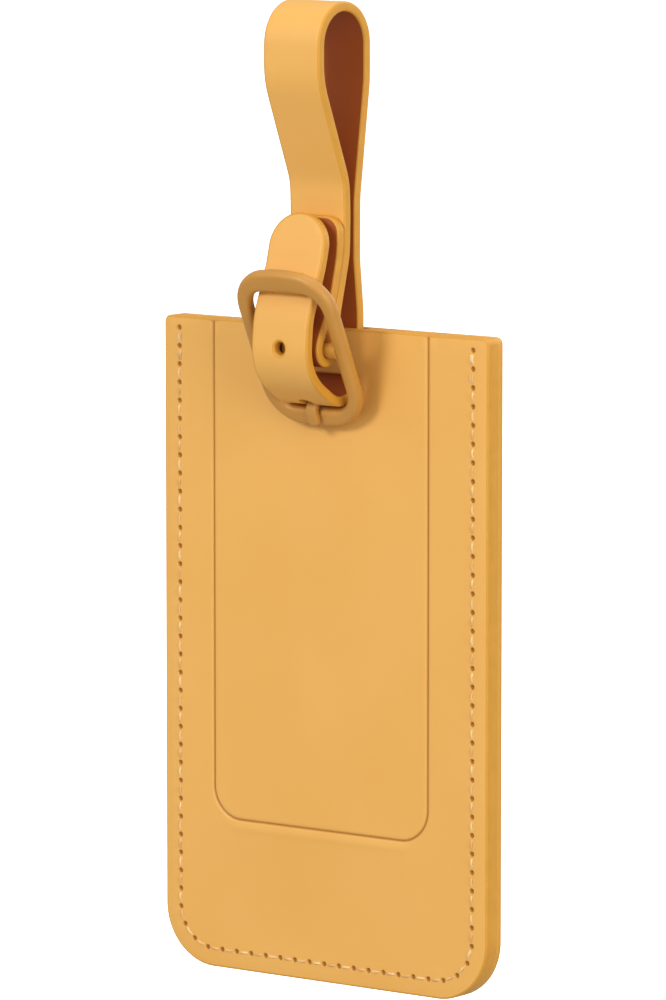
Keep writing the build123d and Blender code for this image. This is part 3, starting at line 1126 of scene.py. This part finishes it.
@dataclass
class Strap:
    """The buckled strap: one strip of two plies, split where the sleeve hides it."""

    finishes: Finishes
    edge_round: float = 0.42
    end_corner: float = 3.0
    tip_radius: float = 6.1
    hole_radius: float = 1.15
    split: float = -6.0
    channel: float = 1.945
    row: float = 0.45
    column: float = 2.0
    bar_out: float = BAR.x - FACE_Y
    bar_up: float = BAR.y - TOP_Z
    bend: float = 2.25
    bend_play: float = 0.05
    slot_reach: float = 4.2
    fold_slot_half: float = 1.5
    fold_slot_corner: float = 1.3
    tail_slot_half: float = 1.35
    tail_slot_corner: float = 1.2
    neck_below: float = 1.4
    neck_above: float = 2.6

    def loop_route(self) -> Route:
        """From the folded end, round the buckle's bar, over the loop and down into the sleeve."""
        front = self.bar_out - self.bend - self.bend_play
        back = self.bar_out + self.bend + self.bend_play
        low = self.bar_up - self.bend - self.bend_play
        return Route(side([
            (-3.92, 20.5, 0), (-4.07, 13.75, 8), (-6.38, 5.25, 3), (front, -2.3, 3),
            (front, low, self.bend), (back, low, self.bend), (back, -0.6, 5), (-4.55, 4.6, 5),
            (-2.15, 13.5, 10), (-2.0, 21.0, 12), (-2.2, 26.4, 9), (-9.85, 44.8, 14),
            (-9.85, 58.0, 6.84), (3.85, 58.0, 6.84), (3.85, 44.5, 14), (0.95, 23.5, 9),
            (0.9, 12.5, 9), (self.channel, 3.2, 9), (self.channel, self.split, 0),
        ]))

    def tail_route(self) -> Route:
        """From inside the sleeve, out of its slot, through the buckle and up to the tip."""
        return Route(side([
            (self.channel, self.split, 0), (self.channel, -11.3, 3), (-4.6, -13.3, 5), (-13.9, -7.2, 8.5),
            (-13.0, 2.6, 9), (-9.3, 11.6, 9), (-6.9, 21.0, 0),
        ]))

    def strip(
        self, name: str, route: Route, ends: Sequence[float], holes: dict[float, list[Vector]],
    ) -> Object:
        """A strip of the strap along a route.

        Args:
            name: the piece's name.
            route: the line through its middle.
            ends: radius of its corners at the route's start and end, 0 for a square cut.
            holes: how far a hole's front edge is rounded, to the hole, clockwise, in (across, along).

        Returns:
            The strip.
        """
        half, length = STRAP_WIDTH / 2, route.length
        outline = rounded(four_corners((half, -half), (0, length), ends), True, 0.4, self.row)
        low, high = Vector((-half + 1.0, self.row)), Vector((half - 1.0, length - self.row))
        loops = list(holes.values())
        slab = Slab(
            outline, STRAP_THICKNESS, route.place(STRAP_THICKNESS), loops,
            front_round=self.edge_round, back_round=self.edge_round, hole_rounds=tuple(holes),
            inner=grid(low, high, (self.column, self.row), [outline] + loops, 0.5),
        )
        look = self.finishes
        # The back face takes the lining's painted shade.
        return slab.build(name, (look.leather, look.edge, look.shaded_lining))

    def build(self) -> None:
        """Makes both strips of the strap."""
        route = self.loop_route()
        near = route.span(lambda point: (point - BAR).length < self.slot_reach)
        slot = opening(self.fold_slot_half, near, self.fold_slot_corner, self.row)
        loop = self.strip("strap_loop_strip", route, (self.end_corner, 0), {0.2: slot})
        nodes = ("strap_loop_outer", "strap_loop_lining", "strap_fold_outer", "strap_fold_lining")
        settle(loop, None, "strap", *nodes)
        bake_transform(loop)
        route = self.tail_route()
        pierced = route.span(Prong(self.finishes).passes)
        slot = opening(self.tail_slot_half, pierced, self.tail_slot_corner, self.row)
        hole_at = route.span(lambda point: point.y > TOP_Z - 3.0 and point.x < FACE_Y - 5)[0]
        punched = arc((0, hole_at), self.hole_radius, 360, 15, 23)
        tail = self.strip("strap_tail_strip", route, (0, self.tip_radius), {0.15: slot, 0.45: punched})
        settle(tail, "sleeve", "strap", "strap_tail_outer", "strap_tail_lining")


# ---- buckle ----


LEAN = math.radians(25.0)
OUT = Vector((-math.cos(LEAN), -math.sin(LEAN)))
DOWN = Vector((math.sin(LEAN), -math.cos(LEAN)))


@dataclass
class Prong:
    """The prong: metal curled round the centre bar, whose tongue bends forward onto the bottom bar."""

    finishes: Finishes
    width: float = 2.3
    thickness: float = 1.25
    edge_round: float = 0.35
    ring: float = 1.85
    curl_start: float = -230
    curl_end: float = 58
    jog_start: float = 10.4
    jog_end: float = 12.0
    jog_radius: float = 1.2
    length: float = 14.8
    rest: float = 1.82
    hole_low: float = 7.9
    hole_high: float = 13.0
    hole_back: float = -1.7
    hole_front: float = 2.6
    row: float = 0.4

    def passes(self, point: Vector) -> bool:
        """Whether a point in the side view lies where the prong goes through the strap."""
        out, down = (point - BAR).dot(OUT), (point - BAR).dot(DOWN)
        return self.hole_back < out < self.hole_front and self.hole_low < down < self.hole_high

    def route(self) -> Route:
        """The curl round the bar, the shank and the tip that rests on the bottom bar."""
        curl = arc((0, 0), self.ring, self.curl_start, self.curl_end, 28)
        corners = [(spot.x, spot.y, 0) for spot in curl] + [
            (0.0, self.ring + 1.9, 1.0), (0.0, self.jog_start, self.jog_radius),
            (self.rest, self.jog_end, self.jog_radius), (self.rest, self.length, 0),
        ]
        placed = [(BAR + OUT * out + DOWN * down, radius) for out, down, radius in corners]
        return Route([(*spot, radius) for spot, radius in placed], easing=2)

    def build(self) -> None:
        """Makes the prong on its own body."""
        route = self.route()
        corners = four_corners((self.width / 2, -self.width / 2), (0, route.length), (0.3, 0.9))
        outline = rounded(corners, closed=True, step=0.25, spacing=self.row)
        low, high = Vector((-0.7, self.row)), Vector((0.7, route.length - self.row))
        strip = Slab(
            outline, self.thickness, route.place(self.thickness), front_round=self.edge_round,
            back_round=self.edge_round, inner=grid(low, high, (0.7, self.row), [outline], 0.35),
        )
        settle(strip.build("prong_tongue", (self.finishes.zinc,) * 3), "prong", "buckle", "buckle_prong")


@dataclass
class BuckleFrame:
    """The buckle's frame: bowed ends, straight sides, and a centre bar with thicker roots."""

    finishes: Finishes
    half_width: float = 10.85
    half_height: float = 15.85
    thickness: float = 2.3
    front_round: float = 1.0
    back_round: float = 0.8
    side_bar: float = 2.7
    top_bar: float = 4.1
    bottom_bar: float = 3.6
    bow: float = 1.8
    window_bow: float = 0.4
    corner: float = 6.0
    window_corner: float = 3.6
    bar_radius: float = 1.3
    bar_sides: int = 32
    root_radius: float = 1.6
    root_length: float = 1.4

    def ring(self, half: float, low: float, high: float, rise: float, corner: float) -> list[Vector]:
        """Closed outline with straight sides and bowed ends, anticlockwise.

        Args:
            half: half its width.
            low: lowest point, in the middle.
            high: highest point, in the middle.
            rise: how far the ends bow.
            corner: how far the round corners reach.

        Returns:
            The outline's points.
        """
        def end(sign: float, height: float) -> list[Vector]:
            """One bowed end with its two corners, from left to right for a sign of 1."""
            edge = height - math.copysign(rise, height)
            line = [Vector((sign * x, height - math.copysign(rise, height) * (x / half) ** 2))
                    for x in np.linspace(-(half - corner), half - corner, 15)]
            tip = Vector((sign * half, edge))
            start, stop = line[-1], tip - Vector((0, math.copysign(corner, height)))
            first, second = start.lerp(tip, 0.6), stop.lerp(tip, 0.6)
            curve = []
            for t in (step / 10 for step in range(1, 11)):
                near, far = start * (1 - t) ** 3, stop * t**3
                curve.append(near + first * 3 * t * (1 - t) ** 2 + second * 3 * t * t * (1 - t) + far)
            begin = [Vector((-spot.x, spot.y)) for spot in reversed(curve)]
            return begin + line + curve
        return divided(end(1, low) + end(-1, high), 1.5, closed=True)

    def place(self, across: float, up: float, depth: float) -> Vector:
        """How the frame is laid out: across, up the frame, depth behind its front."""
        spot = BAR + OUT * (self.thickness / 2 - depth) - DOWN * up
        return Vector((across, spot.x, spot.y))

    def centre_bar(self) -> Object:
        """The round centre bar with its roots, turned about its own length."""
        reach = self.half_width - self.side_bar
        root = reach - self.root_length
        half = [
            (0.0, self.bar_radius), (root - 0.5, self.bar_radius), (root - 0.15, self.bar_radius + 0.12),
            (root, self.root_radius - 0.1), (root + 0.2, self.root_radius), (reach + 0.6, self.root_radius),
        ]
        profile = [(-x, radius) for x, radius in reversed(half[1:])] + half
        count, points, faces = self.bar_sides, [], []
        for x, radius in profile:
            for spot in arc(BAR, radius, 0, 360 - 360 / count, count - 1):
                points.append(Vector((x, spot.x, spot.y)))
        rings = [list(range(start, start + count)) for start in range(0, len(points), count)]
        for near, far in zip(rings, rings[1:]):
            faces += wall(near, far)
        faces += [rings[0][::-1], rings[-1]]
        return object_from("buckle_centre_bar", points, faces)

    def build(self) -> None:
        """Makes the frame and its centre bar."""
        outer = self.ring(self.half_width, -self.half_height, self.half_height, self.bow, self.corner)
        low, high = self.bottom_bar - self.half_height, self.half_height - self.top_bar
        half = self.half_width - self.side_bar
        window = self.ring(half, low, high, self.window_bow, self.window_corner)
        casting = Slab(
            outer, self.thickness, self.place, [window[::-1]], front_round=self.front_round,
            back_round=self.back_round, round_steps=6, hole_rounds=(self.front_round,),
            hole_back=self.back_round,
        )
        piece = casting.build("buckle_casting", (self.finishes.zinc,) * 3)
        settle(piece, "buckle", "buckle", "buckle_frame")
        bar = self.centre_bar()
        bar.data.materials.append(self.finishes.zinc)
        settle(bar, "buckle", "buckle")


# ---- studio ----


@dataclass
class Studio:
    """Pale floor that curves up behind the tag, soft lights, and the camera."""

    floor_z: float = -260.0
    floor_radius: float = 3900.0
    floor_bend: float = 900.0
    floor_top: float = 6000.0
    floor_sides: int = 96
    camera_at: tuple[float, float, float] = (765.4, -1011.0, 73.6)
    aim_at: tuple[float, float, float] = (1.29, 3.0, -88.39)
    lens: float = 255.6
    sensor: float = 36.0
    air: float = 0.5

    def floor(self) -> None:
        """A pale round cove: a floor that turns up into a wall on all sides of the tag."""
        bend, count = self.floor_bend, self.floor_sides
        profile = arc((self.floor_radius - bend, self.floor_z + bend), bend, -90, 0, 16)
        profile.append(Vector((self.floor_radius, self.floor_top)))
        turns = np.linspace(0, 2 * math.pi, count, endpoint=False)
        points = [
            Vector((spot.x * math.cos(turn), spot.x * math.sin(turn), spot.y))
            for spot in profile for turn in turns
        ]
        rings = [list(range(start, start + count)) for start in range(0, len(points), count)]
        faces = [tuple(rings[0])]
        for low, high in zip(rings, rings[1:]):
            faces += wall(low, high)
        cove = object_from("studio_cove", points, faces)
        cove.data.materials.append(Recipe("pale_paper", {
            "Roughness": 0.9, "Base Color": linear("#FAFAFA"), "Emission Color": linear("#FFFFFF"),
            "Emission Strength": 0.9,
        }).material)
        cove.visible_diffuse = False
        cove.visible_glossy = False

    def aimed(self, name: str, data: Any, at: Sequence[float]) -> Object:
        """A light or a camera that faces the tag.

        Args:
            name: its name.
            data: the light's or camera's own settings.
            at: where it stands, in millimetres.

        Returns:
            The linked object.
        """
        piece = linked(name, data)
        spot = Vector(at)
        piece.location = spot * MM
        piece.rotation_euler = (Vector(self.aim_at) - spot).to_track_quat("-Z", "Y").to_euler()
        return piece

    def light(self, name: str, at: Sequence[float], size: float, power: float) -> None:
        """One soft square light.

        Args:
            name: the light's name.
            at: where it stands, in millimetres.
            size: its side in millimetres.
            power: its power in watts.
        """
        data = bpy.data.lights.new(name, "AREA")
        data.size = size * MM
        data.energy = power
        self.aimed(name, data, at)

    def camera(self) -> None:
        """The camera, looking a little down on the tag from its right."""
        data = bpy.data.cameras.new("camera")
        data.sensor_fit = "VERTICAL"
        data.sensor_height = self.sensor
        data.sensor_width = self.sensor
        data.lens = self.lens
        data.clip_start, data.clip_end = 0.05, 30.0
        bpy.context.scene.camera = self.aimed("camera", data, self.camera_at)

    def build(self) -> None:
        """Makes the floor, the lights, the surrounding light and the camera."""
        self.floor()
        self.light("key_light", (-260, -1220, 520), 380, 8.2)
        self.light("fill_light", (1150, -450, 250), 900, 8.6)
        self.light("back_light", (300, 1300, 500), 900, 7.0)
        self.light("top_light", (0, 100, 1100), 700, 4.2)
        world = bpy.data.worlds.new("studio_air")
        world.use_nodes = True
        sky = world.node_tree.nodes["Background"]
        sky.inputs["Color"].default_value = linear("#FFFFFF")
        sky.inputs["Strength"].default_value = self.air
        bpy.context.scene.world = world
        bpy.context.scene.view_settings.view_transform = "Standard"
        self.camera()


def main() -> None:
    """Builds the tag piece by piece and then the studio round it."""
    logging.basicConfig(level=logging.INFO, format="%(name)s: %(message)s")
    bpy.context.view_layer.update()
    finishes = Finishes()
    Sleeve(finishes).build()
    for face in SleeveSide:
        Stitching(finishes, face).build()
    AddressCard(finishes).build()
    Strap(finishes).build()
    BuckleFrame(finishes).build()
    Prong(finishes).build()
    Studio().build()


if __name__ == "__main__":
    main()
